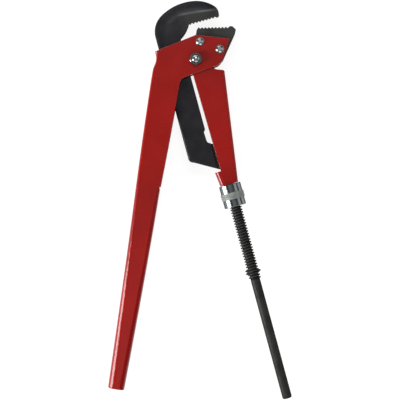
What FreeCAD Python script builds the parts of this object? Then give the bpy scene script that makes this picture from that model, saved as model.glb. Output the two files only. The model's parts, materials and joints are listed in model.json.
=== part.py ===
import FreeCAD, Part
import math
import os
import Sketcher
from FreeCAD import Placement, Rotation, Vector

# A large pipe wrench of the two-lever pattern, in millimetres.
#
# It lies on its side: +Z is through its thickness, +Y points to the jaws and +X to the side that the
# jaws open to. The pivot bolt stands along Z. Three frames turn about it, and each piece is drawn in one:
#   grip frame   the pressed-steel handle, with its grip running down -Y
#   jaw frame    the toothed insert, with its row of teeth along X
#   rod frame    hook jaw, threaded rod, holder and nut, with the rod's axis on the Y axis

doc = FreeCAD.newDocument("pipe_wrench")
sheet = doc.addObject("Spreadsheet::Sheet", "Sizes")

SIZES = {
    # where the pivot's axis stands, and how the three frames are turned about it (degrees)
    "pivot_x": -4.3,
    "pivot_y": 150.0,
    "pivot_z": 17.1,
    "grip_turn": -9.3,
    "jaw_turn": 1.2,
    "rod_turn": 15.15,
    # pressed handle
    "sheet_steel": 3.0,
    "cheek_gap": 18.2,
    "bend_radius": 3.0,
    "head_foot": 30.0,
    "roll_start": 140.6,
    "roll_relief": 3.0,
    "grip_seam": 1.2,
    "grip_end": 361.0,
    "grip_end_round": 1.2,
    "cheek_corner": 1.5,
    # rivets, and where they stand in the grip frame
    "rivet_shank": 5.0,
    "rivet_head": 9.0,
    "rivet_dome": 2.6,
    "rivet_upper_x": 1.5,
    "rivet_upper_y": 19.0,
    "rivet_lower_x": 23.4,
    "rivet_lower_y": 14.6,
    # pivot bolt, its nut and the bush that turns on it
    "bolt_size": 8.0,
    "hex_flats": 12.0,
    "head_height": 5.0,
    "nut_height": 5.0,
    "bolt_point": 1.9,
    "bush_outside": 19.4,
    "running_gap": 0.05,
    # toothed jaws
    "tooth_pitch": 3.62,
    "tooth_depth": 1.6,
    "insert_teeth": 34.0,
    "hook_teeth": 38.1,
    "hook_thick": 15.0,
    "foot_thick": 12.0,
    "jaw_corner": 1.4,
    "shank_back": 35.5,
    "shank_front": 10.05,
    "forged_edge": 1.6,
    "flank_depth": 2.0,
    # swivelling holder
    "holder_sheet": 2.1,
    "holder_outside": 17.6,
    "holder_ear": 9.2,
    "web_place": 26.3,
    "web_start": 20.2,
    "web_slant": 0.1433,
    "ferrule_top": 122.0,
    "ferrule_end": 137.7,
    "ferrule_seam": 0.8,
    # threaded rod and adjusting nut
    "thread_size": 12.8,
    "thread_pitch": 3.0,
    "thread_core": 9.8,
    "thread_top": 121.0,
    "thread_end": 242.0,
    "thread_gap": 0.2,
    "bar_size": 10.2,
    "rod_end": 375.0,
    "spigot_size": 8.0,
    "spigot_top": 97.0,
    "pin_size": 4.0,
    "pin_place": 108.0,
    "stop_place": 234.5,
    "stop_span": 16.5,
    "stop_thick": 5.6,
    "collar_size": 23.4,
    "ring_size": 25.2,
    "nut_top": 138.0,
    "ring_top": 147.0,
    "ring_foot": 154.2,
    "nut_foot": 162.3,
}

for row, (alias, number) in enumerate(SIZES.items(), start=1):
    sheet.set(f"A{row}", alias.replace("_", " "))
    sheet.set(f"B{row}", str(number))
    sheet.setAlias(f"B{row}", alias)
doc.recompute()


# ---------------------------------------------------------------- sizes that remember their formula

class Size:
    """A number together with the sheet formula that it comes from."""

    def __init__(self, number, formula):
        self.number = number
        self.formula = formula

    def __add__(self, other):
        other = as_size(other)
        return Size(self.number + other.number, f"({self.formula} + {other.formula})")

    def __sub__(self, other):
        return self + -as_size(other)

    def __mul__(self, other):
        other = as_size(other)
        return Size(self.number * other.number, f"({self.formula} * {other.formula})")

    def __truediv__(self, other):
        other = as_size(other)
        return Size(self.number / other.number, f"({self.formula} / {other.formula})")

    def __neg__(self):
        return Size(-self.number, f"(-1 * {self.formula})")

    def __rsub__(self, other):
        return as_size(other) - self

    __radd__ = __add__
    __rmul__ = __mul__


def as_size(value):
    return value if isinstance(value, Size) else Size(float(value), f"({float(value)})")


def size(alias):
    """The sheet's cell with this alias."""
    return Size(float(sheet.get(alias)), f"Sizes.{alias}")


def turned(point, angle):
    """A point turned about the pivot's axis by an angle in degrees."""
    cosine = Size(math.cos(math.radians(angle.number)), f"cos({angle.formula} * 1 deg)")
    sine = Size(math.sin(math.radians(angle.number)), f"sin({angle.formula} * 1 deg)")
    x, y = as_size(point[0]), as_size(point[1])
    return x * cosine - y * sine, x * sine + y * cosine


def bind(thing, path, value):
    thing.setExpression(path, as_size(value).formula)


# ---------------------------------------------------------------- document helpers

SUBPARTS = []


def new_body(label, turn, place=(0, 0)):
    """A body whose origin is a place in the frame that is turned about the pivot's axis."""
    body = doc.addObject("PartDesign::Body", label)
    body.Label = label
    body.Placement = Placement(Vector(0, 0, 0), Rotation(Vector(0, 0, 1), 1))
    offset = turned(place, turn)
    bind(body, "Placement.Base.x", size("pivot_x") + offset[0])
    bind(body, "Placement.Base.y", size("pivot_y") + offset[1])
    bind(body, "Placement.Base.z", size("pivot_z"))
    bind(body, "Placement.Rotation.Angle", turn)
    SUBPARTS.append(body)
    return body


def new_sketch(body, name, plane, offset=None):
    """A sketch on one of the body's own origin planes, moved along its normal by an offset."""
    sketch = body.newObject("Sketcher::SketchObject", name)
    support = next(item for item in body.Origin.OriginFeatures if item.Role == plane)
    sketch.AttachmentSupport = [(support, "")]
    sketch.MapMode = "FlatFace"
    if offset is not None:
        bind(sketch, "AttachmentOffset.Base.z", offset)
    return sketch


def pin_point(sketch, geometry, point, x, y):
    """Hold a point of the sketch at coordinates that come from the sheet."""
    for kind, value in (("DistanceX", x), ("DistanceY", y)):
        value = as_size(value)
        number = sketch.addConstraint(Sketcher.Constraint(kind, geometry, point, value.number))
        bind(sketch, f"Constraints[{number}]", value)


def arc_between(start, end, radius):
    """The short arc from start to end. A positive radius bulges to the left of the way travelled."""
    chord = end - start
    left = Vector(-chord.y, chord.x, 0).normalize()
    height = math.sqrt(radius ** 2 - (chord.Length / 2) ** 2)
    centre = (start + end) * 0.5 - left * math.copysign(height, radius)
    first, last = (end, start) if radius > 0 else (start, end)
    angle = math.atan2(first.y - centre.y, first.x - centre.x)
    sweep = 2 * math.asin(chord.Length / 2 / abs(radius))
    return Part.ArcOfCircle(Part.Circle(centre, Vector(0, 0, 1), abs(radius)), angle, angle + sweep)


def outline(sketch, corners):
    """A closed outline. A corner is (x, y), or (x, y, radius) where the side that leaves it is an arc."""
    points = [Vector(as_size(corner[0]).number, as_size(corner[1]).number, 0) for corner in corners]
    ends = []
    for index, corner in enumerate(corners):
        start, end = points[index], points[(index + 1) % len(points)]
        if len(corner) == 2:
            side = sketch.addGeometry(Part.LineSegment(start, end), False)
            ends.append((side, 1, 2))
            continue
        radius = as_size(corner[2])
        side = sketch.addGeometry(arc_between(start, end, radius.number), False)
        ends.append((side, 2, 1) if radius.number > 0 else (side, 1, 2))
    for index, corner in enumerate(corners):
        side, first, _ = ends[index]
        before, _, last = ends[index - 1]
        sketch.addConstraint(Sketcher.Constraint("Coincident", before, last, side, first))
        pin_point(sketch, side, first, corner[0], corner[1])
        if len(corner) == 3:
            radius = as_size(corner[2])
            positive = radius if radius.number > 0 else -radius
            number = sketch.addConstraint(Sketcher.Constraint("Radius", side, positive.number))
            bind(sketch, f"Constraints[{number}]", positive)


def circle(sketch, diameter, centre=(0, 0)):
    """A circle whose centre and diameter come from the sheet."""
    place = Vector(as_size(centre[0]).number, as_size(centre[1]).number, 0)
    diameter = as_size(diameter)
    ring = sketch.addGeometry(Part.Circle(place, Vector(0, 0, 1), diameter.number / 2), False)
    number = sketch.addConstraint(Sketcher.Constraint("Diameter", ring, diameter.number))
    bind(sketch, f"Constraints[{number}]", diameter)
    pin_point(sketch, ring, 3, *centre)


def hexagon(sketch, flats):
    """A regular hexagon about the origin, with two corners on the sketch's upright axis."""
    corner = as_size(flats) / math.sqrt(3)
    turns = [math.radians(30 + 60 * step) for step in range(6)]
    outline(sketch, [(corner * math.cos(turn), corner * math.sin(turn)) for turn in turns])


def rounded_box(sketch, left, right, half, left_radius, right_radius):
    """A rectangle half to each side of the X axis, with its left and its right corners rounded."""
    outline(sketch, [
        (left + left_radius, -half),
        (right - right_radius, -half, -right_radius),
        (right, right_radius - half),
        (right, half - right_radius, -right_radius),
        (right - right_radius, half),
        (left + left_radius, half, -left_radius),
        (left, half - left_radius),
        (left, left_radius - half, -left_radius),
    ])


def half_round_box(sketch, left, right, half, radius):
    """A rectangle half to each side of the X axis, with only its left corners rounded."""
    outline(sketch, [
        (left + radius, -half),
        (right, -half),
        (right, half),
        (left + radius, half, -radius),
        (left, half - radius),
        (left, radius - half, -radius),
    ])


def feature(body, kind, name, sketch, **settings):
    """A sketch-based feature. It must change the body's volume, the way that its kind says."""
    before = body.Shape.Volume if body.Tip else 0.0
    item = body.newObject(f"PartDesign::{kind}", name)
    item.Profile = sketch
    for key, value in settings.items():
        if isinstance(value, Size):
            bind(item, key, value)
        else:
            setattr(item, key, value)
    sketch.Visibility = False
    doc.recompute()
    removes = kind in ("Pocket", "Groove", "SubtractiveLoft", "SubtractiveHelix")
    change = body.Shape.Volume - before
    if (change >= -1e-3) if removes else (change <= 1e-3):
        raise RuntimeError(f"{body.Label}: {name} changed the volume by {change:.3f}")
    return item


def pad(body, name, sketch, length):
    """A pad of this length, half of it to each side of the sketch."""
    return feature(body, "Pad", name, sketch, SideType="Symmetric", Length=as_size(length))


def pocket(body, name, sketch, length):
    """A pocket of this length, half of it to each side of the sketch."""
    return feature(body, "Pocket", name, sketch, SideType="Symmetric", Length=as_size(length))


def revolve(body, name, sketch, kind="Revolution"):
    """The sketch turned about its own upright axis."""
    return feature(body, kind, name, sketch, ReferenceAxis=(sketch, ["V_Axis"]), Angle=360)


def loft(body, name, sketches, kind="AdditiveLoft"):
    return feature(body, kind, name, sketches[0], Sections=sketches[1:])


def dress(body, kind, name, amount, wanted):
    """A fillet or chamfer on each edge of the body's last feature for which wanted(edge) is true."""
    base = body.Tip
    names = [f"Edge{n}" for n, edge in enumerate(base.Shape.Edges, start=1) if wanted(edge)]
    if not names:
        raise RuntimeError(f"{body.Label}: {name} found no edge")
    item = body.newObject(f"PartDesign::{kind}", name)
    item.Base = (base, names)
    bind(item, "Radius" if kind == "Fillet" else "Size", as_size(amount))
    doc.recompute()
    return item


def upright_at(*corners):
    """Picks the edges that stand along Z at one of these corners."""
    places = [(as_size(x).number, as_size(y).number) for x, y in corners]

    def wanted(edge):
        ends = [vertex.Point for vertex in edge.Vertexes]
        if len(ends) != 2 or abs(ends[0].z - ends[1].z) < 1:
            return False
        return any(math.dist((point.x, point.y), place) < 0.2 for place in places for point in ends)

    return wanted


def lies_at(edge, height, tolerance=0.05):
    """Whether a whole edge lies in one of the two planes at this height above and below the middle."""
    box = edge.BoundBox
    return box.ZLength < tolerance and abs(abs(edge.CenterOfMass.z) - height) < tolerance


# ---------------------------------------------------------------- pressed handle

cheek_half = size("cheek_gap") / 2 + size("sheet_steel")

# Stations of the handle, from its head down: distance below the pivot, back, front, half thickness
# and the radius of the back bends. The rolled grip has bends at its front too.
CHANNEL = [
    (size("head_foot"), -43.5, -12.9, 12.1, 3.0),
    (84.0, -42.7, -13.6, 11.6, 3.2),
    (size("roll_start"), -41.3, -15.2, 11.0, 3.6),
]
GRIP = [
    (size("roll_start"), -41.3, -15.4, 11.0, 3.6, 3.2),
    (220.0, -39.1, -15.9, 10.0, 5.4, 4.5),
    (300.0, -37.4, -17.3, 9.3, 7.0, 5.6),
    (size("grip_end"), -36.2, -18.7, 9.0, 7.8, 6.2),
]


def inside_bend(radius, least):
    """The radius inside a bend of the pressed sheet, which is never below the least one."""
    inside = radius - size("sheet_steel")
    return inside if inside.number > least else as_size(least)


def section_row(body, name, stations):
    """One cross-section sketch for each station (distance, left, right, half, radii)."""
    sketches = []
    for number, (distance, left, right, half, back, front) in enumerate(stations, start=1):
        sketch = new_sketch(body, f"{name}{number}", "XZ_Plane", as_size(distance))
        rounded_box(sketch, left, right, half, back, front)
        sketches.append(sketch)
    return sketches


def make_fixed_handle():
    body = new_body("fixed_handle", size("grip_turn"))
    wall, head_foot = size("sheet_steel"), -size("head_foot")
    roll_start, grip_end = size("roll_start"), size("grip_end")

    # the head: two cheeks and the back that joins them, which waists in below its flared ear
    head = new_sketch(body, "head_outline", "XY_Plane")
    outline(head, [
        (-44.4, 0.8),
        (-4.4, 25.3),
        (32.2, 27.3),
        (28.1, 4.8, 12),
        (18.9, -5.3),
        (-8.4, -20.8, -9.5),
        (-12.9, head_foot),
        (-43.5, head_foot),
        (-43.5, -20.0, 21.6),
        (-42.5, -13.5, -17.0),
    ])
    pad(body, "head", head, cheek_half * 2)
    dress(body, "Fillet", "head_bends", size("bend_radius"), lambda edge: (
        lies_at(edge, cheek_half.number) and edge.CenterOfMass.x < -41))

    # the open channel below the head, and the rolled grip
    sharp = 0.3
    channel = [(*station, sharp) for station in CHANNEL]
    loft(body, "channel", section_row(body, "channel_section", channel))
    loft(body, "grip", section_row(body, "grip_section", GRIP))
    dress(body, "Fillet", "grip_end_round", size("grip_end_round"), lambda edge: (
        edge.BoundBox.YLength < 0.05 and edge.CenterOfMass.y < -grip_end.number + 0.1))

    # the space between the cheeks
    inside = new_sketch(body, "head_inside", "XY_Plane")
    outline(inside, [
        (-41.88, 2.4),
        (-41.88, 60),
        (60, 60),
        (60, head_foot),
        (-40.5, head_foot),
        (-40.5, -20.0, 18.6),
        (-39.63, -14.4, -20.0),
    ])
    pocket(body, "head_space", inside, size("cheek_gap"))
    past_front = 20
    hollow = [(distance, back + wall, front + past_front, half - wall, inside_bend(bend, 0.8), sharp)
              for distance, back, front, half, bend in CHANNEL]
    loft(body, "channel_space", section_row(body, "channel_inside", hollow), "SubtractiveLoft")
    hollow = [(distance, back + wall, front - wall, half - wall,
               inside_bend(bend, 0.6), inside_bend(lip, 0.4))
              for distance, back, front, half, bend, lip in GRIP]
    loft(body, "grip_space", section_row(body, "grip_inside", hollow), "SubtractiveLoft")

    # the seam where the rolled edges meet, and the relief where the roll begins
    seam = new_sketch(body, "seam_outline", "XY_Plane")
    outline(seam, [(-26, -roll_start), (-10, -roll_start), (-10, -grip_end - 2), (-26, -grip_end - 2)])
    pocket(body, "seam", seam, size("grip_seam"))
    relief = new_sketch(body, "relief_outline", "XY_Plane")
    circle(relief, size("roll_relief"), (-14.6, -roll_start - 1.2))
    pocket(body, "roll_relief", relief, cheek_half * 2)

    # holes for the pivot bolt and the rivets
    holes = new_sketch(body, "holes_outline", "XY_Plane")
    circle(holes, size("bolt_size") + size("running_gap") * 2)
    for name in ("upper", "lower"):
        circle(holes, size("rivet_shank"), (size(f"rivet_{name}_x"), size(f"rivet_{name}_y")))
    pocket(body, "holes", holes, cheek_half * 2 + 2)
    dress(body, "Fillet", "cheek_corners", size("cheek_corner"), upright_at((-4.4, 25.3), (32.2, 27.3)))


# ---------------------------------------------------------------- toothed insert of the fixed jaw

def tooth_row(first, count, line, up):
    """Corners of a row of pointed teeth from the point at x = first; up is 1 or -1 for where they point."""
    pitch, depth = size("tooth_pitch"), size("tooth_depth")
    step = pitch * up
    corners = [(first, line)]
    for number in range(count):
        corners.append((first + step * (number + 0.5), line - depth * up))
        corners.append((first + step * (number + 1), line))
    return corners


def make_fixed_jaw():
    body = new_body("fixed_jaw", size("jaw_turn"))
    sketch = new_sketch(body, "jaw_outline", "XY_Plane")
    teeth = tooth_row(as_size(3.7), 8, size("insert_teeth"), 1)
    outline(sketch, [
        (-3.4, 10.04),
        (0.7, 26.8),
        (1.5, 31.2),
        *teeth,
        (34.5, 32.5),
        (36.6, 34.4),
        (39.4, 34.5),
        (43.4, 30.8),
        (42.3, 26.8),
        (28.9, -1.5),
        (25.2, -5.0),
        (18.5, -8.0),
        (8.73, 6.0, -10.6),
    ])
    pad(body, "jaw", sketch, size("cheek_gap"))
    corners = upright_at((43.4, 30.8), (25.2, -5.0), (28.9, -1.5))
    dress(body, "Fillet", "jaw_corners", size("jaw_corner"), corners)

    # rivet holes, placed in the grip frame
    between = size("grip_turn") - size("jaw_turn")
    holes = new_sketch(body, "jaw_holes", "XY_Plane")
    for name in ("upper", "lower"):
        place = turned((size(f"rivet_{name}_x"), size(f"rivet_{name}_y")), between)
        circle(holes, size("rivet_shank"), place)
    pocket(body, "rivet_holes", holes, size("cheek_gap") + 2)


def make_rivet(name):
    """A rivet through both cheeks, with a domed head on each side."""
    place = (size(f"rivet_{name}_x"), size(f"rivet_{name}_y"))
    body = new_body(f"jaw_rivet_{name}", size("grip_turn"), place)
    shank, head, dome = size("rivet_shank") / 2, size("rivet_head") / 2, size("rivet_dome")
    rim, crown = 0.9, 1.8
    sphere = (crown ** 2 + (dome.number - rim) ** 2 + head.number ** 2) / 5
    sketch = new_sketch(body, "rivet_profile", "XZ_Plane")
    outline(sketch, [
        (0, cheek_half + dome),
        (0, -cheek_half - dome),
        (crown, -cheek_half - dome, -sphere),
        (head, -cheek_half - rim),
        (head, -cheek_half),
        (shank, -cheek_half),
        (shank, cheek_half),
        (head, cheek_half),
        (head, cheek_half + rim, -sphere),
        (crown, cheek_half + dome),
    ])
    revolve(body, "rivet", sketch)


# ---------------------------------------------------------------- pivot

def hex_chamfer(body, name, face, out):
    """Turns the corners of a hexagon down towards its outer face at height face; out is 1 up, -1 down."""
    flat = size("hex_flats") / 2
    sketch = new_sketch(body, f"{name}_profile", "XZ_Plane")
    fall, past = as_size(out) * 0.3, 3
    outline(sketch, [
        (flat * 0.96, face),
        (flat + past, face),
        (flat + past, face - fall * 9),
        (flat, face - fall * 0.9),
    ])
    revolve(body, name, sketch, "Groove")


def make_pivot_bolt():
    body = new_body("pivot_bolt", size("grip_turn"))
    radius, height = size("bolt_size") / 2, size("head_height")
    head = new_sketch(body, "head_outline", "XY_Plane", -cheek_half - height)
    hexagon(head, size("hex_flats"))
    feature(body, "Pad", "head", head, Length=height)
    hex_chamfer(body, "head_chamfer", -cheek_half - height, -1)
    tip = cheek_half + size("nut_height") + size("bolt_point")
    shank = new_sketch(body, "shank_profile", "XZ_Plane")
    outline(shank, [
        (0, -cheek_half - height / 2),
        (radius, -cheek_half - height / 2),
        (radius, tip - 1.5),
        (radius - 0.5, tip - 1.0, -(radius - 0.5) * (radius - 0.5) / 2 - 0.5),
        (0, tip),
    ])
    revolve(body, "shank", shank)


def make_pivot_nut():
    body = new_body("pivot_nut", size("grip_turn"))
    height = size("nut_height")
    sketch = new_sketch(body, "nut_outline", "XY_Plane", cheek_half)
    hexagon(sketch, size("hex_flats"))
    feature(body, "Pad", "nut", sketch, Length=height)
    hex_chamfer(body, "nut_chamfer", cheek_half + height, 1)
    bore = new_sketch(body, "bore_profile", "XZ_Plane")
    radius = size("bolt_size") / 2
    outline(bore, [
        (0, cheek_half - 1),
        (radius, cheek_half - 1),
        (radius, cheek_half + height - 0.7),
        (radius + 0.8, cheek_half + height + 0.1),
        (0, cheek_half + height + 0.1),
    ])
    revolve(body, "bore", bore, "Groove")


def make_pivot_bush():
    body = new_body("pivot_bush", size("rod_turn"))
    half = size("holder_outside") / 2 - size("holder_sheet") - 0.1
    inner = size("bolt_size") / 2 + size("running_gap")
    outer = size("bush_outside") / 2
    sketch = new_sketch(body, "bush_profile", "XZ_Plane")
    outline(sketch, [
        (inner, -half), (outer - 0.5, -half), (outer, 0.5 - half),
        (outer, half - 0.5), (outer - 0.5, half), (inner, half),
    ])
    revolve(body, "bush", sketch)


# ---------------------------------------------------------------- swivelling holder

def web_line(distance, depth=0):
    """X of the holder's slanting web at a distance below the pivot, depth inside its outer face."""
    return size("web_place") - size("web_slant") * (as_size(distance) - size("web_start")) - depth


def on_web(vertex):
    """Whether a vertex lies on the line of the holder's web."""
    return vertex.Y < -size("web_start").number + 0.01 and abs(vertex.X - web_line(-vertex.Y).number) < 0.01


def make_swivel_holder():
    body = new_body("swivel_holder", size("rod_turn"))
    outside, wall = size("holder_outside"), size("holder_sheet")
    ear, top, end = size("holder_ear"), size("ferrule_top"), size("ferrule_end")

    # two flanges, each an ear round the pivot, joined by a web on the side that the jaws open to
    sketch = new_sketch(body, "flange_outline", "XY_Plane")
    left, right = turned((-ear, 0), as_size(38)), turned((ear, 0), as_size(20))
    outline(sketch, [
        (left[0], left[1], ear),
        (0, ear, ear),
        (right[0], right[1]),
        (14.9, -12.8),
        (18.2, -16.0),
        (25.3, -18.6),
        (web_line(size("web_start")), -size("web_start")),
        (web_line(top), -top),
        (-5.3, -top),
    ])
    pad(body, "flanges", sketch, outside)

    # the lower end is wrapped round into a ferrule, whose wall is upset a little at the web
    sections, insides = [], []
    upset, round_outside, round_inside = 0.3, 5.5, 3.0
    for number, (distance, left) in enumerate([(top, -12.0), (end, -10.2)]):
        sketch = new_sketch(body, f"ferrule_section{number}", "XZ_Plane", distance)
        half_round_box(sketch, left, web_line(distance), outside / 2, round_outside)
        sections.append(sketch)
        sketch = new_sketch(body, f"ferrule_inside{number}", "XZ_Plane", distance)
        right = web_line(distance, wall + upset)
        half_round_box(sketch, left + wall, right, outside / 2 - wall, round_inside)
        insides.append(sketch)
    loft(body, "ferrule", sections)
    dress(body, "Fillet", "web_bends", size("bend_radius"), lambda edge: (
        lies_at(edge, outside.number / 2) and all(on_web(vertex) for vertex in edge.Vertexes)))
    loft(body, "ferrule_space", insides, "SubtractiveLoft")

    # the space between the flanges
    sketch = new_sketch(body, "channel_outline", "XY_Plane")
    upper = 15
    outline(sketch, [
        (-30, upper), (web_line(-upper, wall), upper), (web_line(top, wall), -top), (-30, -top),
    ])
    pocket(body, "channel_space", sketch, outside - wall * 2)
    seam = new_sketch(body, "seam_outline", "XY_Plane")
    outline(seam, [(-15, 2 - top), (-6, 2 - top), (-6, -end - 2), (-15, -end - 2)])
    pocket(body, "seam", seam, size("ferrule_seam"))
    hole = new_sketch(body, "pivot_hole", "XY_Plane")
    circle(hole, size("bolt_size") + size("running_gap") * 2)
    pocket(body, "pivot_hole_cut", hole, outside + 2)


# ---------------------------------------------------------------- hook jaw

def make_hook_jaw():
    body = new_body("hook_jaw", size("rod_turn"))
    back, front = -size("shank_back"), -size("shank_front")
    line = size("hook_teeth")
    teeth = tooth_row(as_size(33.4), 8, line, -1)
    sketch = new_sketch(body, "hook_outline", "XY_Plane")
    outline(sketch, [
        (-31.0, -105.4, 5.5),
        (back, -99.0),
        (back, 34.0, 24.0),
        (-24.0, 54.6, 54.1),
        (15.2, 61.0, 36.2),
        (34.0, 50.3, 10.25),
        (36.4, 40.6, 2.2),
        *teeth,
        (3.0, 38.9, 33.6),
        (-9.6, 25.8, -6.0),
        (-10.1, 21.5),
        (front, 14.0),
        (front, -74.5),
        (-12.0, -77.0),
        (-11.6, -86.4, -3.6),
        (-9.2, -89.8),
        (-8.0, -90.3),
        (-8.0, -118.5),
    ])
    pad(body, "hook_and_shank", sketch, size("hook_thick"))
    dress(body, "Chamfer", "forged_edges", size("forged_edge"), lambda edge: (
        lies_at(edge, size("hook_thick").number / 2) and not in_mouth(edge.CenterOfMass)))

    # both flanks slope in from a ridge towards the teeth, and the slope fades out over the throat
    reach, past = size("hook_thick") / 2, 1.5
    slope = [(-9.0, 49.5, 0.02), (5.0, 48.0, size("flank_depth")), (42.0, 45.0, size("flank_depth"))]
    for name, side in (("upper", 1), ("lower", -1)):
        sections = []
        for number, (along, ridge, depth) in enumerate(slope):
            section = new_sketch(body, f"flank_{name}{number}", "YZ_Plane", as_size(along))
            outline(section, [
                (line - 6, (reach - depth) * side),
                (line - 6, (reach + past) * side),
                (ridge, (reach + past) * side),
                (ridge, reach * side),
            ])
            sections.append(section)
        feature(body, "SubtractiveLoft", f"flank_slope_{name}", sections[0],
                Sections=sections[1:], Ruled=True)

    # the thinner foot, which reaches into the holder and takes the rod's spigot
    foot = new_sketch(body, "foot_outline", "XY_Plane")
    outline(foot, [
        (-9.0, -91.0), (6.6, -93.0), (8.0, -95.0), (8.0, -119.5), (-6.5, -119.5), (-9.0, -117.5),
    ])
    pad(body, "foot", foot, size("foot_thick"))
    bore = new_sketch(body, "spigot_bore", "XZ_Plane", size("spigot_top"))
    circle(bore, size("spigot_size"))
    feature(body, "Pocket", "spigot_hole", bore, Length=as_size(40), Reversed=True)
    pin = new_sketch(body, "pin_hole", "XY_Plane")
    circle(pin, size("pin_size"), (0, -size("pin_place")))
    pocket(body, "pin_hole_cut", pin, size("foot_thick") + 2)


def in_mouth(point):
    """Whether a point lies along the teeth or where the shank meets the foot."""
    return (point.x > 2.0 and point.y < 42.0) or point.x > -8.6 and point.y < 0


# ---------------------------------------------------------------- threaded rod and its nut

def thread_profile(body, name, start, gap):
    """The trapezoidal ridge at height start, on the +X side, grown by a gap on every face."""
    core, crest = size("thread_core") / 2, size("thread_size") / 2
    root_half, crest_half, sunk = 1.02, 0.55, 0.25
    sketch = new_sketch(body, name, "XY_Plane")
    outline(sketch, [
        (core - sunk + gap, start - root_half - sunk * 0.27 - gap),
        (crest + gap, start - crest_half - gap),
        (crest + gap, start + crest_half + gap),
        (core - sunk + gap, start + root_half + sunk * 0.27 + gap),
    ])
    return sketch


def wind_thread(body, kind, sketch, rise):
    """Winds the ridge up the Y axis as a right-hand thread."""
    return feature(body, kind, "thread", sketch, ReferenceAxis=(sketch, ["V_Axis"]), Mode=0,
                   Pitch=size("thread_pitch"), Height=as_size(rise), Reversed=False)


def make_adjusting_rod():
    body = new_body("adjusting_rod", size("rod_turn"))
    spigot, core, bare = size("spigot_size") / 2, size("thread_core") / 2, size("bar_size") / 2
    top, end = size("thread_top"), size("thread_end")
    shoulder, tip = 119.8, size("rod_end")
    sketch = new_sketch(body, "rod_profile", "XY_Plane")
    outline(sketch, [
        (0, -size("spigot_top") - 0.2),
        (spigot - 0.5, -size("spigot_top") - 0.2),
        (spigot, -size("spigot_top") - 0.7),
        (spigot, -shoulder),
        (core, -shoulder),
        (core, -end - 1.2),
        (bare, -end - 1.6),
        (bare, 2.0 - tip, 2.0),
        (bare - 2.0, -tip),
        (0, -tip),
    ])
    revolve(body, "bar", sketch)

    # the thread's crests are pressed out into sharp ears, two on one side and one on the other,
    # so that the nut can't run off the thread
    place, span = -size("stop_place"), size("stop_span") / 2
    ears = new_sketch(body, "stop_outline", "XY_Plane")
    outline(ears, [
        (core, place - 2.4), (span, place - 0.7), (span, place + 0.1), (core, place + 2.4),
        (-core, place + 3.6), (-span, place + 2.4), (-span, place + 1.6), (-core - 1.1, place + 0.4),
        (-span, place - 0.8), (-span, place - 1.6), (-core, place - 3.0),
    ])
    pad(body, "stop_ears", ears, size("stop_thick"))

    wind_thread(body, "AdditiveHelix", thread_profile(body, "thread_ridge", -end, as_size(0)), end - top)
    pin = new_sketch(body, "pin_hole", "XY_Plane")
    circle(pin, size("pin_size"), (0, -size("pin_place")))
    pocket(body, "pin_hole_cut", pin, size("foot_thick"))


def make_rod_pin():
    body = new_body("rod_pin", size("rod_turn"), (0, -size("pin_place")))
    sketch = new_sketch(body, "pin_outline", "XY_Plane")
    circle(sketch, size("pin_size"))
    pad(body, "pin", sketch, size("foot_thick"))


def make_adjusting_nut():
    body = new_body("adjusting_nut", size("rod_turn"))
    collar, ring = size("collar_size") / 2, size("ring_size") / 2
    bore = size("thread_core") / 2 + size("thread_gap")
    top, foot, edge, lead_in = size("nut_top"), size("nut_foot"), 0.6, 1.2
    sketch = new_sketch(body, "nut_profile", "XY_Plane")
    outline(sketch, [
        (bore + lead_in, -top),
        (collar - edge, -top),
        (collar, -top - edge),
        (collar, -size("ring_top")),
        (ring - edge, -size("ring_top")),
        (ring, -size("ring_top") - edge),
        (ring, edge - size("ring_foot")),
        (ring - edge, -size("ring_foot")),
        (collar, -size("ring_foot")),
        (collar, edge - foot),
        (collar - edge, -foot),
        (bore + lead_in, -foot),
        (bore, lead_in - foot),
        (bore, -top - lead_in),
    ])
    revolve(body, "nut", sketch)

    # its thread is in step with the rod's, and runs out past both of its ends
    turns_below, turns_through = 25, 11
    start = size("thread_pitch") * turns_below - size("thread_end")
    groove = thread_profile(body, "thread_groove", start, size("thread_gap"))
    wind_thread(body, "SubtractiveHelix", groove, size("thread_pitch") * turns_through)


# ---------------------------------------------------------------- make, check and write every piece

make_fixed_handle()
make_fixed_jaw()
make_rivet("upper")
make_rivet("lower")
make_pivot_bolt()
make_pivot_nut()
make_pivot_bush()
make_swivel_holder()
make_hook_jaw()
make_adjusting_rod()
make_rod_pin()
make_adjusting_nut()
doc.recompute()

faults = [f"{item.Name}: {item.State}" for item in doc.Objects
          if "Invalid" in item.State or "Error" in item.State]
for body in SUBPARTS:
    if body.Shape.isNull() or not body.Shape.isValid() or len(body.Shape.Solids) != 1:
        faults.append(f"{body.Label}: shape")
if faults:
    raise RuntimeError("; ".join(faults))

os.makedirs("parts", exist_ok=True)
for body in SUBPARTS:
    body.Shape.exportStep(f"parts/{body.Label}.step")
    print(f"{body.Label}: {body.Shape.Volume:.0f} mm3")
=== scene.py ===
import json
import math

import bmesh
import bpy
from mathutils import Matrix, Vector
from mathutils.geometry import delaunay_2d_cdt
from mathutils.kdtree import KDTree


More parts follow.
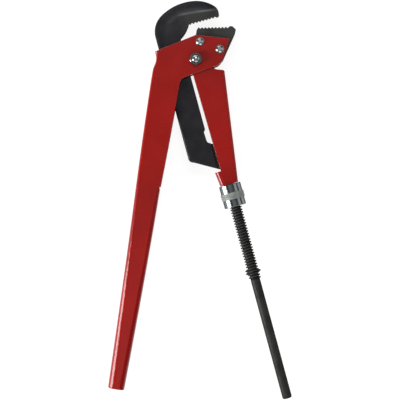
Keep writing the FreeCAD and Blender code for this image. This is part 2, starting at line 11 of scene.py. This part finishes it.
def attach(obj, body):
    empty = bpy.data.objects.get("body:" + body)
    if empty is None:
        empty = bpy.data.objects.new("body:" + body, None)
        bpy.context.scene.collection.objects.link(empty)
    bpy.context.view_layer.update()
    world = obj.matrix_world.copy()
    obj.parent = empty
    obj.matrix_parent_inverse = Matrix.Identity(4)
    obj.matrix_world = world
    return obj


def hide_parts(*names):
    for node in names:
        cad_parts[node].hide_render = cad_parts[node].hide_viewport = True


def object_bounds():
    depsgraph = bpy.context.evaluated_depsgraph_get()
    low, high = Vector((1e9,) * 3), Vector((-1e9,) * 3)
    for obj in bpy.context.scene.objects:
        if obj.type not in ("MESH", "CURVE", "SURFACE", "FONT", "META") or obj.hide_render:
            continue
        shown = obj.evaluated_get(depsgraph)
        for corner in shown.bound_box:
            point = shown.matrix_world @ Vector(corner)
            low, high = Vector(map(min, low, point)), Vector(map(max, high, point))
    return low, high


# A two-lever pipe wrench on a white studio table, seen from straight above. Ten CAD nodes keep their
# shapes and get their materials here. Two finer meshes stand for the others: the nut with its diamond
# knurl, and the hook jaw as it comes from the forge.

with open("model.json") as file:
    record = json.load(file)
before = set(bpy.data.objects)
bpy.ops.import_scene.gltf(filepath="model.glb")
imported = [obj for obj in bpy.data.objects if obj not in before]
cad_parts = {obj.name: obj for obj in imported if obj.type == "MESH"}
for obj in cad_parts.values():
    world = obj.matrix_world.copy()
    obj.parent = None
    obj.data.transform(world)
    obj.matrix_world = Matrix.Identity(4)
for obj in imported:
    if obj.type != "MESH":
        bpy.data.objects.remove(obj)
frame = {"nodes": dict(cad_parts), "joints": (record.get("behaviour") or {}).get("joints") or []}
nodes = frame["nodes"]
joints = {joint["name"]: joint for joint in frame["joints"]}
cad_low, cad_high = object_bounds()
scene = bpy.context.scene
MM = 0.001

# The rod's own frame. Its origin is the pivot, and its axis runs from the rod's bare end up to the hook
# jaw. A place in it is given across the axis, along it, and at a height above it.
pivot = Vector(joints["handle_swing"]["pos_m"])
axis = Vector(joints["jaw_slide"]["axis"]).normalized()
up = Vector((0, 0, 1))
side = axis.cross(up)
lean = math.atan2(-axis.x, axis.y)

# Where the two slopes of the hook's flank meet: this line falls from its start to its end, and runs on
# level beyond both. Each point is (across, along).
RIDGE_START, RIDGE_END = (-9.0 * MM, 49.5 * MM), (41.0 * MM, 44.5 * MM)

# The thread's painted shade in its roots and painted highlight on its crests set in over these distances
# from the rod's axis. Its core is at 4.9 mm, the plain bar's surface at 5.1 mm and the crests at 6.4 mm.
THREAD_ROOT_SHADE = (5.02 * MM, 4.94 * MM)
THREAD_CREST_HIGHLIGHT = (5.7 * MM, 6.2 * MM)


def rod_point(across, along, height):
    """The place of a point that is given in the rod's frame, in metres from the pivot."""
    return pivot + side * across + axis * along + up * height


def rod_radius(point):
    """How far a point lies from the rod's axis, and how far along it."""
    arm = point - pivot
    along = arm.dot(axis)
    return (arm - axis * along).length, along


# ---------------------------------------------------------------- material nodes

def new_material(name, **inputs):
    """A material with these uniform values on its shader's own sockets, its node tree and its shader."""
    mat = bpy.data.materials.new(name)
    mat.use_nodes = True
    shader = mat.node_tree.nodes["Principled BSDF"]
    for key, value in inputs.items():
        shader.inputs[key.replace("_", " ")].default_value = value
    return mat, mat.node_tree, shader


def put(tree, kind, settings=None, **inputs):
    """A node with these settings. An input is given by name, or as i and its number. An input that is an
    output socket is linked to it."""
    node = tree.nodes.new(kind)
    for key, value in (settings or {}).items():
        setattr(node, key, value)
    for key, value in inputs.items():
        by_number = key[0] == "i" and key[1:].isdigit()
        socket = node.inputs[int(key[1:]) if by_number else key.replace("_", " ")]
        if isinstance(value, bpy.types.NodeSocket):
            tree.links.new(value, socket)
        else:
            socket.default_value = value
    return node


def place(tree, scale=(1, 1, 1), turn=(0, 0, 0)):
    """Coordinates that stay on the piece, in metres, stretched and turned for a grain."""
    coords = put(tree, "ShaderNodeTexCoord").outputs["Object"]
    return put(tree, "ShaderNodeMapping", Vector=coords, Scale=scale, Rotation=turn).outputs["Vector"]


def noise(tree, where, scale, detail=3.0, rough=0.55):
    """Soft noise from 0 to 1, with about scale bumps to the metre."""
    node = put(tree, "ShaderNodeTexNoise", Vector=where, Scale=scale, Detail=detail, Roughness=rough)
    return node.outputs["Fac"]


def stretch(tree, value, low, high, to_low=0.0, to_high=1.0):
    """The value's range from low to high as the range from to_low to to_high, held at both ends."""
    node = put(tree, "ShaderNodeMapRange", Value=value, From_Min=low, From_Max=high, To_Min=to_low,
               To_Max=to_high)
    return node.outputs["Result"]


def maths(tree, operation, first, second=0.0):
    return put(tree, "ShaderNodeMath", {"operation": operation}, i0=first, i1=second).outputs["Value"]


def blend_colour(tree, share, first, second):
    """The first colour where share is 0 and the second where it is 1."""
    return put(tree, "ShaderNodeMix", {"data_type": "RGBA"}, i0=share, i6=first, i7=second).outputs[2]


def cover(tree, colour, share, strength, layer):
    """The colour with a layer over it, which is this strong where share is 1."""
    return blend_colour(tree, maths(tree, "MULTIPLY", share, strength), colour, layer)


def edge_mask(tree, radius, low, high):
    """1 along the outer edges of a piece and 0 on its faces, with the rounded normal that goes with it."""
    bevel = put(tree, "ShaderNodeBevel", {"samples": 6}, Radius=radius).outputs["Normal"]
    flat = put(tree, "ShaderNodeNewGeometry").outputs["Normal"]
    dot = put(tree, "ShaderNodeVectorMath", {"operation": "DOT_PRODUCT"}, i0=bevel, i1=flat)
    turned = maths(tree, "SUBTRACT", 1.0, dot.outputs["Value"])
    return stretch(tree, turned, low, high), bevel


def bump(tree, height, strength, distance, normal=None):
    extra = {"Normal": normal} if normal is not None else {}
    node = put(tree, "ShaderNodeBump", Height=height, Strength=strength, Distance=distance, **extra)
    return node.outputs["Normal"]


def rod_frame(tree):
    """How far a surface point lies across the rod's axis, above it and along it, in metres."""
    arm = put(tree, "ShaderNodeVectorMath", {"operation": "SUBTRACT"}, i0=place(tree), i1=pivot)
    dots = [put(tree, "ShaderNodeVectorMath", {"operation": "DOT_PRODUCT"}, i0=arm.outputs["Vector"], i1=way)
            for way in (side, up, axis)]
    return [dot.outputs["Value"] for dot in dots]


def connect(tree, shader, colour, rough, normal):
    """Links what varies over the surface to the shader. A normal of None leaves the surface smooth."""
    for socket, value in (("Base Color", colour), ("Roughness", rough), ("Normal", normal)):
        if value is not None:
            tree.links.new(value, shader.inputs[socket])


# ---------------------------------------------------------------- materials

DARK_RIM = (0.05, 0.05, 0.05, 1)


def paint():
    """Gloss red paint on pressed sheet: a faint orange peel, specks of dust, and a pale line at the cut
    edges that is partly thin, worn paint and partly a painted highlight.
    """
    mat, tree, shader = new_material("red_paint", Coat_Weight=0.45, Coat_Roughness=0.05,
                                     Specular_IOR_Level=0.15)
    deep_red, bright_red = (0.265, 0.0040, 0.0022, 1), (0.335, 0.0062, 0.0036, 1)
    dusty_red, worn_and_highlight_red = (0.42, 0.22, 0.2, 1), (0.60, 0.38, 0.35, 1)
    where = place(tree)
    cloud = stretch(tree, noise(tree, where, 14, 2.0), 0.35, 0.65)
    colour = blend_colour(tree, cloud, deep_red, bright_red)
    dust = stretch(tree, noise(tree, where, 900, 4.0, 0.7), 0.66, 0.74)
    colour = cover(tree, colour, dust, 0.12, dusty_red)
    # the pale line along the cut edges is partly worn paint and partly a painted highlight
    edge, rounded = edge_mask(tree, 0.7 * MM, 0.04, 0.25)
    patches = stretch(tree, noise(tree, where, 160, 4.0, 0.65), 0.3, 0.5, 0.4, 1.0)
    colour = cover(tree, colour, maths(tree, "MULTIPLY", edge, patches), 0.75, worn_and_highlight_red)
    rough = stretch(tree, noise(tree, where, 70, 3.0), 0.3, 0.7, 0.26, 0.34)
    waves = maths(tree, "MULTIPLY", noise(tree, where, 60, 1.0), 2.0)
    peel = maths(tree, "ADD", noise(tree, where, 420, 2.0), waves)
    connect(tree, shader, colour, rough, bump(tree, peel, 0.08, 0.5 * MM, rounded))
    return mat


def paint_flank_light(tree, colour):
    """Painted light on the hook's flank: below the ridge it is painted lighter, standing in for the light
    that falls on it, and a painted highlight runs just above the ridge.
    """
    painted_lit_flank_grey, painted_ridge_highlight_grey = (0.060, 0.062, 0.055, 1), (0.125, 0.131, 0.134, 1)
    across, _, along = rod_frame(tree)
    ridge = stretch(tree, across, RIDGE_START[0], RIDGE_END[0], RIDGE_START[1], RIDGE_END[1])
    above = maths(tree, "SUBTRACT", along, ridge)
    reach = stretch(tree, across, -8 * MM, 2 * MM)
    # painted light: the flank below the ridge is painted lighter
    lit_flank_share = maths(tree, "MULTIPLY", stretch(tree, above, 0.2 * MM, -0.4 * MM), reach)
    colour = blend_colour(tree, lit_flank_share, colour, painted_lit_flank_grey)
    # a painted highlight band just above the ridge
    fading = stretch(tree, above, 3.2 * MM, 1.0 * MM)
    ridge_highlight_band = maths(tree, "MULTIPLY", fading, stretch(tree, above, -0.1 * MM, 0.3 * MM))
    return cover(tree, colour, maths(tree, "MULTIPLY", ridge_highlight_band, reach), 0.75, painted_ridge_highlight_grey)


def forging(name, dark, light, painted_flank_light=False):
    """Dark heat-treated forging: fine scale, slight dents and brighter rubbed edges."""
    mat, tree, shader = new_material(name, Metallic=0.45, Specular_IOR_Level=0.0, Specular_Tint=DARK_RIM,
                                     Coat_Weight=0.12, Coat_Roughness=0.24)
    scale_grey, rubbed_grey = (0.07, 0.07, 0.068, 1), (0.16, 0.16, 0.155, 1)
    where = place(tree)
    cloud = stretch(tree, noise(tree, where, 45, 5.0, 0.6), 0.32, 0.68)
    colour = blend_colour(tree, cloud, dark, light)
    # the hook's flank gets painted light, and a painted highlight above its ridge
    if painted_flank_light:
        colour = paint_flank_light(tree, colour)
    grain = stretch(tree, noise(tree, where, 1400, 4.0, 0.7), 0.58, 0.72)
    colour = cover(tree, colour, grain, 0.2, scale_grey)
    edge, rounded = edge_mask(tree, 0.8 * MM, 0.03, 0.3)
    patches = stretch(tree, noise(tree, where, 220, 4.0, 0.65), 0.34, 0.5, 0.3, 1.0)
    colour = cover(tree, colour, maths(tree, "MULTIPLY", edge, patches), 0.6, rubbed_grey)
    rough = stretch(tree, noise(tree, where, 130, 4.0), 0.3, 0.7, 0.32, 0.46)
    fine = maths(tree, "MULTIPLY", noise(tree, where, 1500, 2.0), 0.25)
    dents = maths(tree, "ADD", noise(tree, where, 240, 3.0), fine)
    connect(tree, shader, colour, rough, bump(tree, dents, 0.18, 0.7 * MM, rounded))
    return mat


def bar():
    """Blackened drawn bar, with its drawing lines along the axis. On the thread the roots are darkened with
    painted shade, and the crests carry a painted highlight in patches."""
    mat, tree, shader = new_material("dark_steel", Metallic=0.45, Specular_IOR_Level=0.0,
                                     Specular_Tint=DARK_RIM)
    dark, light, root_shade = (0.027, 0.0275, 0.0275, 1), (0.051, 0.051, 0.048, 1), (0.019, 0.019, 0.019, 1)
    drawn, rubbed, crest = (0.085, 0.085, 0.082, 1), (0.12, 0.12, 0.115, 1), (0.058, 0.059, 0.057, 1)
    where = place(tree)
    lines = place(tree, (1, 0.04, 1), (0, 0, -lean))
    cloud = stretch(tree, noise(tree, where, 55, 5.0, 0.6), 0.32, 0.68)
    colour = blend_colour(tree, cloud, dark, light)
    streak = stretch(tree, noise(tree, lines, 1500, 3.0, 0.6), 0.45, 0.7)
    colour = cover(tree, colour, streak, 0.3, drawn)
    edge, rounded = edge_mask(tree, 0.4 * MM, 0.03, 0.3)
    colour = cover(tree, colour, edge, 0.3, rubbed)
    across, above, _ = rod_frame(tree)
    squares = [maths(tree, "MULTIPLY", way, way) for way in (across, above)]
    radius = maths(tree, "SQRT", maths(tree, "ADD", *squares))
    # painted shade darkens the thread's roots
    colour = blend_colour(tree, stretch(tree, radius, *THREAD_ROOT_SHADE), colour, root_shade)
    patches = stretch(tree, noise(tree, where, 260, 3.0), 0.36, 0.6, 0.3, 1.0)
    # a painted highlight lightens the thread's crests in patches
    crest_highlight = maths(tree, "MULTIPLY", stretch(tree, radius, *THREAD_CREST_HIGHLIGHT), patches)
    colour = blend_colour(tree, crest_highlight, colour, crest)
    rough = stretch(tree, noise(tree, where, 160, 4.0), 0.3, 0.7, 0.42, 0.56)
    connect(tree, shader, colour, rough, bump(tree, noise(tree, lines, 1300, 3.0), 0.12, 0.4 * MM, rounded))
    return mat


def zinc(name, dark, light, rough_from, rough_to, turned=False):
    """Zinc plate. On the turned nut its tool marks run round the rod's axis."""
    mat, tree, shader = new_material(name, Metallic=1.0, Specular_Tint=DARK_RIM)
    where = place(tree)
    cloud = stretch(tree, noise(tree, where, 180, 4.0, 0.6), 0.3, 0.7)
    colour = blend_colour(tree, cloud, dark, light)
    rough = stretch(tree, noise(tree, where, 300, 3.0), 0.3, 0.7, rough_from, rough_to)
    marks = None
    if turned:
        marks = bump(tree, noise(tree, place(tree, (0.02, 1, 0.02), (0, 0, -lean)), 2600), 0.04, 0.2 * MM)
    connect(tree, shader, colour, rough, marks)
    return mat


RED, BAR = paint(), bar()
INSERT = forging("black_forging", (0.035, 0.035, 0.033, 1), (0.054, 0.054, 0.051, 1))
HOOK = forging("hook_forging", (0.018, 0.0180, 0.0210, 1), (0.031, 0.0305, 0.0345, 1), painted_flank_light=True)
ZINC = zinc("zinc_plate", (0.34, 0.365, 0.37, 1), (0.44, 0.46, 0.45, 1), 0.22, 0.30)
# the pivot nut's zinc is painted darker than the rest, a painted shade for the dark that its faces mirror
SHADED_ZINC = zinc("zinc_painted_shade", (0.13, 0.14, 0.145, 1), (0.18, 0.19, 0.195, 1), 0.20, 0.28)
# the nut's collars are painted darker than the rest of its plating, a painted shade for the dark that they
# mirror
TURNED_SHADED = zinc("zinc_turned_painted_shade", (0.20, 0.23, 0.24, 1), (0.28, 0.30, 0.305, 1), 0.18, 0.25, turned=True)
KNURLED = zinc("zinc_knurled", (0.32, 0.34, 0.32, 1), (0.42, 0.44, 0.42, 1), 0.50, 0.60)

FINISH = {
    "fixed_handle": RED, "swivel_holder": RED,
    "fixed_jaw": INSERT, "hook_jaw": HOOK,
    "adjusting_rod": BAR, "rod_pin": BAR, "pivot_bush": BAR,
    "jaw_rivet_upper": ZINC, "jaw_rivet_lower": ZINC, "pivot_bolt": ZINC, "pivot_nut": SHADED_ZINC,
    "adjusting_nut": TURNED_SHADED,
}
for name, mat in FINISH.items():
    nodes[name].data.materials.clear()
    nodes[name].data.materials.append(mat)


# ---------------------------------------------------------------- mesh helpers

def mesh_of(node):
    """A CAD node's mesh as a new bmesh, with its doubled corners joined."""
    bm = bmesh.new()
    bm.from_mesh(nodes[node].data)
    bmesh.ops.remove_doubles(bm, verts=bm.verts, dist=1e-6)
    return bm


def piece_from(bm, name, body, stands_for, mat, sharp):
    """Makes the mesh a piece that stands for one CAD node. Edges over sharp degrees stay hard."""
    bmesh.ops.recalc_face_normals(bm, faces=bm.faces)
    mesh = bpy.data.meshes.new(name)
    bm.normal_update()
    bm.to_mesh(mesh)
    bm.free()
    if mesh.has_custom_normals:
        mesh.attributes.remove(mesh.attributes["custom_normal"])
    piece = bpy.data.objects.new(name, mesh)
    scene.collection.objects.link(piece)
    mesh.materials.append(mat)
    mesh.shade_smooth()
    mesh.set_sharp_from_angle(angle=math.radians(sharp))
    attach(piece, body)
    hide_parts(stands_for)
    return piece


def ramp(value, start, end):
    """0 before start, 1 after end, and a smooth rise between them."""
    share = min(max((value - start) / (end - start), 0.0), 1.0)
    return share * share * (3 - 2 * share)


def outline_of(node, height):
    """The longest closed outline of a CAD node in a level plane, as (across, along) points."""
    bm = mesh_of(node)
    whole = bm.verts[:] + bm.edges[:] + bm.faces[:]
    cut = bmesh.ops.bisect_plane(bm, geom=whole, plane_co=pivot + up * height, plane_no=up)["geom_cut"]
    # a dictionary keeps its order, so the outline starts at the same corner on each run
    edges = dict.fromkeys(item for item in cut if isinstance(item, bmesh.types.BMEdge))
    outlines = []
    while edges:
        edge, _ = edges.popitem()
        start, vert = edge.verts
        loop = [start.co.copy()]
        while vert is not start:
            loop.append(vert.co.copy())
            edge = next(item for item in vert.link_edges if item in edges)
            del edges[edge]
            vert = edge.other_vert(vert)
        outlines.append([((co - pivot).dot(side), (co - pivot).dot(axis)) for co in loop])
    bm.free()
    return max(outlines, key=len)


def divided(loop, spacing):
    """The same closed outline with points at most this far apart."""
    points = []
    for (x0, y0), (x1, y1) in zip(loop, loop[1:] + loop[:1]):
        parts = max(1, math.ceil(math.hypot(x1 - x0, y1 - y0) / spacing))
        points += [(x0 + (x1 - x0) * n / parts, y0 + (y1 - y0) * n / parts) for n in range(parts)]
    return points


def inside(loop, x, y):
    """Whether a point lies inside a closed outline."""
    within = False
    for (x0, y0), (x1, y1) in zip(loop, loop[1:] + loop[:1]):
        if (y0 > y) != (y1 > y) and x < (x1 - x0) * (y - y0) / (y1 - y0) + x0:
            within = not within
    return within


def tree_of(points):
    tree = KDTree(len(points))
    for number, (x, y) in enumerate(points):
        tree.insert((x, y, 0), number)
    tree.balance()
    return tree


def distance(tree, x, y):
    """How far a point is from the nearest point of a tree."""
    return tree.find((x, y, 0))[2]


# ---------------------------------------------------------------- adjusting nut with its knurl

def make_knurled_nut():
    """The turned nut. Its plain ring is cut away, and a ring with diamond knurling goes in."""
    collar_length, above_collar, below_collar = 1.5 * MM, 0.1 * MM, 0.2 * MM
    around, diamonds = 336, 48
    depth, chamfer, step = 0.38 * MM, 0.5 * MM, 0.25 * MM
    groove_start = 0.35
    sharp = 32

    bm = mesh_of("adjusting_nut")
    places = {vert: rod_radius(vert.co) for vert in bm.verts}
    ends = min(along for _, along in places.values()), max(along for _, along in places.values())
    collar = max(radius for radius, along in places.values()
                 if min(along - ends[0], ends[1] - along) < collar_length)
    ring = [vert for vert in bm.verts if places[vert][0] > collar + above_collar]
    crest = max(places[vert][0] for vert in ring)
    low_end, high_end = (pick(places[vert][1] for vert in ring) for pick in (min, max))
    bmesh.ops.delete(bm, geom=ring, context="VERTS")

    # the ring's section as (radius, along), from inside one collar to inside the other
    run = high_end - low_end - 2 * chamfer
    rows = round(run / step)
    profile = [(collar - below_collar, low_end), (crest - chamfer, low_end), (crest, low_end + chamfer)]
    profile += [(crest, low_end + chamfer + run * row / rows) for row in range(1, rows)]
    profile += [(crest, high_end - chamfer), (crest - chamfer, high_end), (collar - below_collar, high_end)]
    pitch = 2 * math.pi * crest / diamonds
    loops = []
    for radius, along in profile:
        loop = []
        for number in range(around):
            turn = number / around
            groove = max(abs(2 * ((turn * diamonds + way * along / pitch) % 1) - 1) for way in (1, -1))
            cut = depth * ramp(groove, groove_start, 1.0) * ramp(radius, collar, crest)
            angle = 2 * math.pi * turn
            spoke = side * math.cos(angle) + up * math.sin(angle)
            loop.append(bm.verts.new(pivot + axis * along + spoke * (radius - cut)))
        loops.append(loop)
    for before, after in zip(loops, loops[1:]):
        for number in range(around):
            following = (number + 1) % around
            face = bm.faces.new((before[number], after[number], after[following], before[following]))
            face.material_index = 1
    piece = piece_from(bm, "knurled_nut", "nut", "adjusting_nut", TURNED_SHADED, sharp)
    piece.data.materials.append(KNURLED)


# ---------------------------------------------------------------- forged hook jaw

def hook_surface(rim_tree, back_tree):
    """A function that gives half the forging's thickness at each (across, along)."""
    half, foot_half, foot_across, foot_down = 7.5 * MM, 5.95 * MM, (-8.4 * MM, -7.6 * MM), (60 * MM, 61 * MM)
    head_up, camber_power = (0, 42 * MM), 1.7
    flank_fall, fall_across, teeth = 2.0 * MM, (-9 * MM, 6 * MM), 38.1 * MM
    soft_rim, softer_back, back_reach, roundness = 0.6 * MM, 1.2 * MM, (-0.5 * MM, -0.1 * MM), 0.9

    def ridge_at(x):
        share = min(max((x - RIDGE_START[0]) / (RIDGE_END[0] - RIDGE_START[0]), 0), 1)
        return RIDGE_START[1] + (RIDGE_END[1] - RIDGE_START[1]) * share

    def height_at(x, y):
        to_rim, to_back = distance(rim_tree, x, y), distance(back_tree, x, y)
        in_foot = ramp(x, *foot_across) * ramp(-y, *foot_down)
        # the back is cambered: slightly on the shank, and deep and wide on the head
        head = ramp(y, *head_up)
        camber_depth, camber_width = (0.5 + 2.7 * head) * MM, (3 + 10.5 * head) * MM
        camber = camber_depth * (1 - min(to_back / camber_width, 1)) ** camber_power
        # below the ridge the flank falls towards the teeth
        ridge = ridge_at(x)
        fall = min(max((ridge - y) / (ridge - teeth), 0), 1) * flank_fall * ramp(x, *fall_across)
        thick = half + (foot_half - half) * in_foot - (camber + fall) * (1 - in_foot)
        # every edge is soft, and the back's edges are softest
        on_back = ramp(to_rim - to_back, *back_reach)
        soft = soft_rim + softer_back * on_back * (1 - in_foot)
        inset = 1 - min(to_rim / soft, 1)
        return thick - soft * (1 - math.sqrt(1 - inset * inset)) * roundness

    return height_at


def make_forged_hook():
    """The hook jaw as it is forged: a cambered back, a flank that falls to the teeth, soft edges."""
    rim_spacing, grid_spacing, dense_spacing = 1.2 * MM, 1.5 * MM, 0.2 * MM
    # rows of points follow the rim at these depths, and a grid fills what lies deeper than them all
    row_depths = [depth * MM for depth in (0.15, 0.4, 0.75, 1.2, 1.8, 2.6, 3.6)]
    row_tolerance, grid_depth = 0.03 * MM, 4.2 * MM
    # the back is the part of the rim that is further out than this
    back_across, back_along = -23 * MM, 42.5 * MM
    cut_height, sharp = 5 * MM, 38

    rim = divided(outline_of("hook_jaw", cut_height), rim_spacing)
    dense = divided(rim, dense_spacing)
    back = [point for point in dense if point[0] < back_across or point[1] > back_along]
    rim_tree = tree_of(dense)
    height_at = hook_surface(rim_tree, tree_of(back))

    points = list(rim)
    row = divided(rim, rim_spacing)
    for depth in row_depths:
        for (x0, y0), (x1, y1), (x2, y2) in zip(row[-1:] + row[:-1], row, row[1:] + row[:1]):
            along = Vector((x2 - x0, y2 - y0)).normalized()
            for sign in (1, -1):
                x, y = x1 - along.y * depth * sign, y1 + along.x * depth * sign
                if abs(distance(rim_tree, x, y) - depth) < row_tolerance and inside(rim, x, y):
                    points.append((x, y))
    low_x, high_x = (pick(x for x, _ in rim) for pick in (min, max))
    low_y, high_y = (pick(y for _, y in rim) for pick in (min, max))
    for column in range(round((high_x - low_x) / grid_spacing)):
        for line in range(round((high_y - low_y) / grid_spacing)):
            x = low_x + (column + 0.5 * (line % 2)) * grid_spacing
            y = low_y + line * grid_spacing
            if distance(rim_tree, x, y) > grid_depth and inside(rim, x, y):
                points.append((x, y))
    edges = [(number, (number + 1) % len(rim)) for number in range(len(rim))]
    flat, _, faces, origin, _, _ = delaunay_2d_cdt([Vector(point) for point in points], edges, [], 1, 1e-7)

    # the same net of faces twice, above and below the middle, and a wall between them along the rim
    bm = bmesh.new()
    heights = [height_at(point.x, point.y) for point in flat]
    top, bottom = ([bm.verts.new(rod_point(point.x, point.y, sign * height))
                    for point, height in zip(flat, heights)] for sign in (1, -1))
    for face in faces:
        bm.faces.new([top[number] for number in face])
        bm.faces.new([bottom[number] for number in reversed(face)])
    place_of = {}
    for number, sources in enumerate(origin):
        for source in sources:
            place_of.setdefault(source, number)
    for first, second in edges:
        a, b = place_of[first], place_of[second]
        if a != b:
            bm.faces.new((top[a], top[b], bottom[b], bottom[a]))
    piece_from(bm, "forged_hook", "hook", "hook_jaw", HOOK, sharp)


make_knurled_nut()
make_forged_hook()


# ---------------------------------------------------------------- lights, table and camera

def area_light(name, where, target, size, watts):
    data = bpy.data.lights.new(name, "AREA")
    data.shape, data.size, data.size_y = "RECTANGLE", *size
    data.energy = watts
    lamp = bpy.data.objects.new(name, data)
    scene.collection.objects.link(lamp)
    lamp.location = where
    lamp.rotation_euler = (Vector(target) - Vector(where)).to_track_quat("-Z", "Y").to_euler()


area_light("top", (0.0, 0.72, 1.40), (0, 0.05, 0), (0.7, 0.4), 5)
area_light("left", (-1.0, -0.205, 0.42), (-0.05, -0.135, 0.02), (0.40, 0.66), 13.5)
area_light("right", (1.3, 0.25, 1.0), (0, 0, 0), (1.2, 0.8), 3)
area_light("far", (-0.4, 1.25, 0.85), (0, 0.15, 0), (1.2, 0.5), 4)
area_light("near", (0.2, -1.35, 1.1), (0, 0, 0), (1.4, 0.8), 9)

# The studio that the metal mirrors is pale at the horizon and dark above it. Its ceiling is bright on
# the side of the handles and dim on the side of the jaws.
LOW_WALL, HIGH_WALL = (0.20, 0.20, 0.20, 1), (0.035, 0.037, 0.038, 1)
DIM_CEILING, BRIGHT_CEILING = (0.17, 0.19, 0.18, 1), (0.7, 0.7, 0.7, 1)
world = bpy.data.worlds.new("studio")
scene.world = world
world.use_nodes = True
sky = world.node_tree
outwards = put(sky, "ShaderNodeTexCoord").outputs["Generated"]
direction = put(sky, "ShaderNodeSeparateXYZ", Vector=outwards).outputs
wall = blend_colour(sky, stretch(sky, direction["Z"], 0.02, 0.5), LOW_WALL, HIGH_WALL)
ceiling = blend_colour(sky, stretch(sky, direction["Y"], 0.02, -0.13), DIM_CEILING, BRIGHT_CEILING)
tint = blend_colour(sky, stretch(sky, direction["Z"], 0.90, 0.97), wall, ceiling)
sky.links.new(tint, sky.nodes["Background"].inputs["Color"])

TABLE_REACH, TABLE_GAP = 4.0, 0.4 * MM
corners = [(x * TABLE_REACH, y * TABLE_REACH, 0) for x, y in ((-1, -1), (1, -1), (1, 1), (-1, 1))]
table_mesh = bpy.data.meshes.new("table")
table_mesh.from_pydata(corners, [], [(0, 1, 2, 3)])
table = bpy.data.objects.new("table", table_mesh)
scene.collection.objects.link(table)
table.location.z = cad_low.z - TABLE_GAP
table_mat, _, _ = new_material("table", Base_Color=(0.26, 0.26, 0.26, 1), Roughness=0.8,
                               Specular_IOR_Level=0.1, Emission_Color=(1, 1, 1, 1),
                               Emission_Strength=0.87)
table_mesh.materials.append(table_mat)

# The camera looks straight down at a point that is this far right of and above the middle. At the
# pivot's level its view is VIEW_WIDTH metres wide. The lens and the sensor are in millimetres.
CENTRE, VIEW_WIDTH, LENS, SENSOR, CLIP_END = 0.1 * MM, 0.428, 160, 36, 50
camera_data = bpy.data.cameras.new("camera")
camera_data.lens, camera_data.sensor_width, camera_data.clip_end = LENS, SENSOR, CLIP_END
camera = bpy.data.objects.new("camera", camera_data)
camera.location = (CENTRE, CENTRE, pivot.z + VIEW_WIDTH * LENS / SENSOR)
scene.collection.objects.link(camera)
scene.camera = camera
scene.view_settings.view_transform = "Standard"
